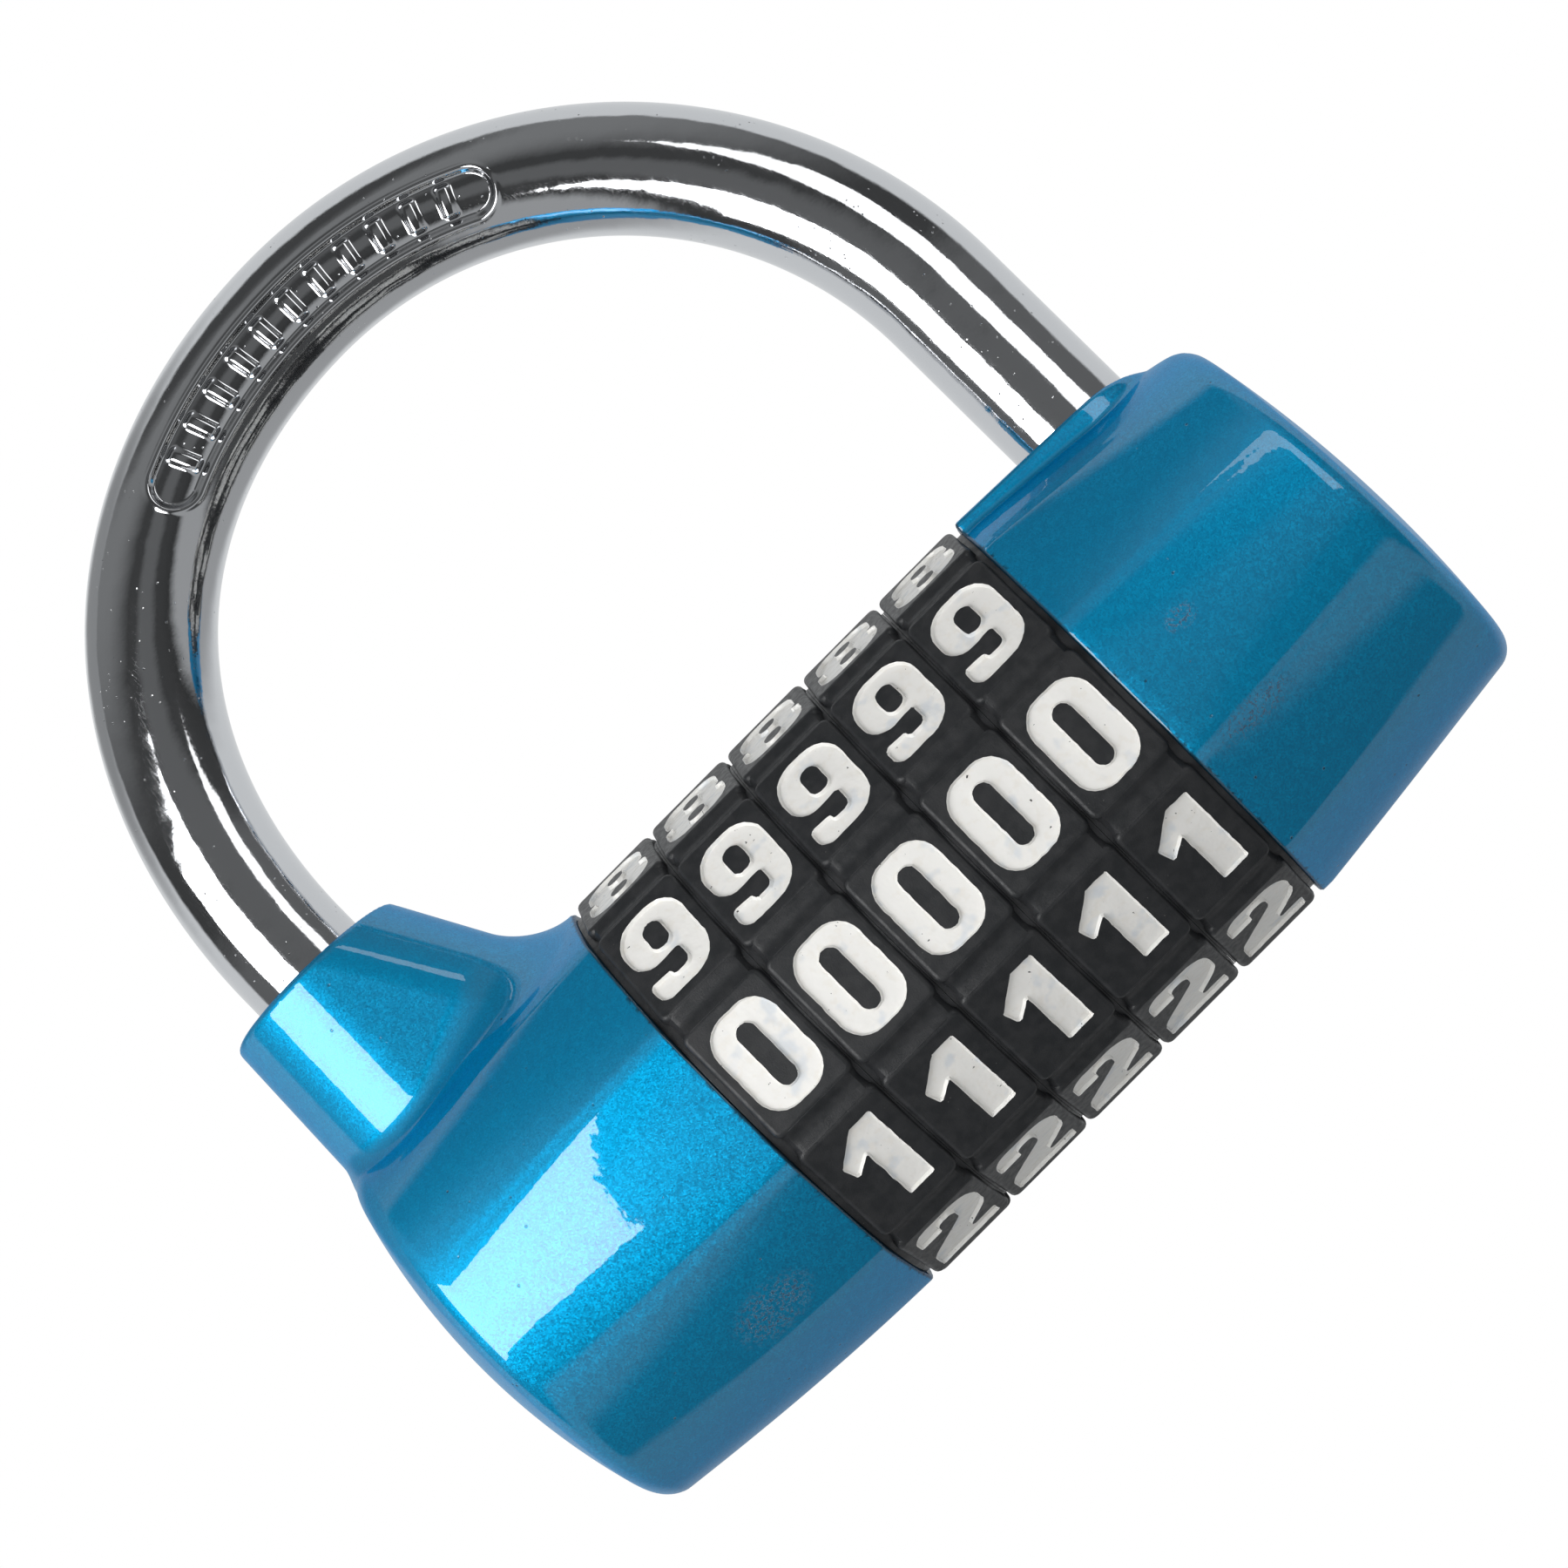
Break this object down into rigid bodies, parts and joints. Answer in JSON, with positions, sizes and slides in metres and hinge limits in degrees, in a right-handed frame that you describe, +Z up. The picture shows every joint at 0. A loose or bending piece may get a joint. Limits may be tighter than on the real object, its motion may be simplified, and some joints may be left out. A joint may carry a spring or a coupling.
{
  "type": "combination padlock",
  "caption": "Combination padlock with a horizontal barrel of turning number dials between two blue castings and a round chromed steel shackle that lifts to open.",
  "frame": {"origin": "underside of the shackle's crown, on the middle plane of the wire, where the lock hangs", "axes": "+X along the barrel towards the shackle's toe leg, +Y towards the back (the code row of digits faces -Y), +Z up along the shackle's legs"},
  "size_m": [0.0653, 0.0262, 0.0635],
  "materials": {
    "blue_casting": "blue metallic-flake paint under a clear coat",
    "chrome": "polished chrome plate on hardened steel",
    "black_plastic": "satin black dials with recessed digits filled in off-white paint",
    "steel": "plain bright steel",
    "brass": "turned brass"
  },
  "bodies": {
    "case": {"left_casting": "blue_casting", "right_casting": "blue_casting", "core_tube": "brass", "case_pin_left": "steel", "case_pin_right": "steel", "shackle_pin": "steel", "click_spring": "steel", "spindle_spring": "steel", "dial_spacer_1": "steel", "dial_spacer_2": "steel", "dial_spacer_3": "steel", "dial_spacer_4": "steel"},
    "shackle": {"shackle": "chrome"},
    "spindle": {"spindle": "steel"},
    "dial_1": {"number_dial_1": "black_plastic", "code_ring_1": "brass"},
    "dial_2": {"number_dial_2": "black_plastic", "code_ring_2": "brass"},
    "dial_3": {"number_dial_3": "black_plastic", "code_ring_3": "brass"},
    "dial_4": {"number_dial_4": "black_plastic", "code_ring_4": "brass"},
    "dial_5": {"number_dial_5": "black_plastic", "code_ring_5": "brass"}
  },
  "joints": [
    {"name": "shackle_lift", "type": "slide", "parent": "case", "child": "shackle", "axis": [0, 0, 1], "range_m": [0, 0.009]},
    {"name": "spindle_slide", "type": "slide", "parent": "case", "child": "spindle", "axis": [1, 0, 0], "range_m": [0, 0.0024], "deforming": ["spindle_spring"]},
    {"name": "dial_1_turn", "type": "hinge", "parent": "case", "child": "dial_1", "pos_m": [-0.00916, 0, -0.043], "axis": [1, 0, 0], "continuous": true},
    {"name": "dial_2_turn", "type": "hinge", "parent": "case", "child": "dial_2", "pos_m": [-0.0036, 0, -0.043], "axis": [1, 0, 0], "continuous": true},
    {"name": "dial_3_turn", "type": "hinge", "parent": "case", "child": "dial_3", "pos_m": [0.00198, 0, -0.043], "axis": [1, 0, 0], "continuous": true},
    {"name": "dial_4_turn", "type": "hinge", "parent": "case", "child": "dial_4", "pos_m": [0.00754, 0, -0.043], "axis": [1, 0, 0], "continuous": true},
    {"name": "dial_5_turn", "type": "hinge", "parent": "case", "child": "dial_5", "pos_m": [0.01311, 0, -0.043], "axis": [1, 0, 0], "continuous": true}
  ],
  "couplings": [
    {"joint": "spindle_slide", "follows": "shackle_lift", "ratio": 0.26666}
  ]
}
